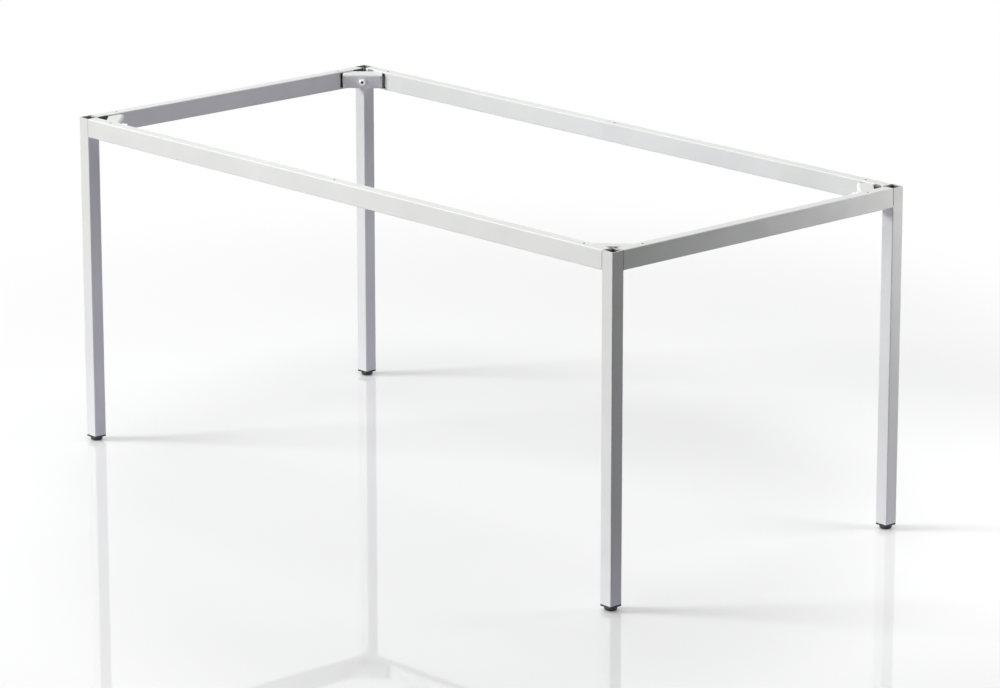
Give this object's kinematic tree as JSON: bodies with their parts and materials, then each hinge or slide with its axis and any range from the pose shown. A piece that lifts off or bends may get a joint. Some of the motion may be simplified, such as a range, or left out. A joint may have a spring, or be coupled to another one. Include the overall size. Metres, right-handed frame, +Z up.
{
  "type": "table frame",
  "caption": "Rectangular steel-tube table frame with corner legs, rails clamped by hook-in corner brackets, and levelling feet.",
  "frame": {"origin": "on the floor, under the middle of the frame", "axes": "+X along the long rails to the right, +Y from the front long rail to the back one, +Z up"},
  "size_m": [1.645, 0.815, 0.72],
  "materials": {
    "silver_coat": "satin silver powder coat with a very fine texture",
    "zinc": "bright zinc plate",
    "black_plastic": "moulded black polyamide"
  },
  "bodies": {
    "frame": {"rail_front": "silver_coat", "rail_back": "silver_coat", "rail_left": "silver_coat", "rail_right": "silver_coat", "leg_front_left": "silver_coat", "leg_front_right": "silver_coat", "leg_back_right": "silver_coat", "leg_back_left": "silver_coat", "bracket_front_left": "silver_coat", "bracket_front_right": "silver_coat", "bracket_back_right": "silver_coat", "bracket_back_left": "silver_coat", "corner_bolt_front_left": "zinc", "corner_bolt_front_right": "zinc", "corner_bolt_back_right": "zinc", "corner_bolt_back_left": "zinc", "corner_washer_front_left": "zinc", "corner_washer_front_right": "zinc", "corner_washer_back_right": "zinc", "corner_washer_back_left": "zinc", "leg_nut_front_left": "zinc", "leg_nut_front_right": "zinc", "leg_nut_back_right": "zinc", "leg_nut_back_left": "zinc", "foot_insert_front_left": "black_plastic", "foot_insert_front_right": "black_plastic", "foot_insert_back_right": "black_plastic", "foot_insert_back_left": "black_plastic"},
    "foot_front_left": {"foot_pad_front_left": "black_plastic", "foot_stud_front_left": "zinc"},
    "foot_front_right": {"foot_pad_front_right": "black_plastic", "foot_stud_front_right": "zinc"},
    "foot_back_right": {"foot_pad_back_right": "black_plastic", "foot_stud_back_right": "zinc"},
    "foot_back_left": {"foot_pad_back_left": "black_plastic", "foot_stud_back_left": "zinc"}
  },
  "joints": [
    {"name": "level_front_left", "type": "slide", "parent": "frame", "child": "foot_front_left", "axis": [0, 0, -1], "range_m": [0, 0.01]},
    {"name": "level_front_right", "type": "slide", "parent": "frame", "child": "foot_front_right", "axis": [0, 0, -1], "range_m": [0, 0.01]},
    {"name": "level_back_right", "type": "slide", "parent": "frame", "child": "foot_back_right", "axis": [0, 0, -1], "range_m": [0, 0.01]},
    {"name": "level_back_left", "type": "slide", "parent": "frame", "child": "foot_back_left", "axis": [0, 0, -1], "range_m": [0, 0.01]}
  ]
}
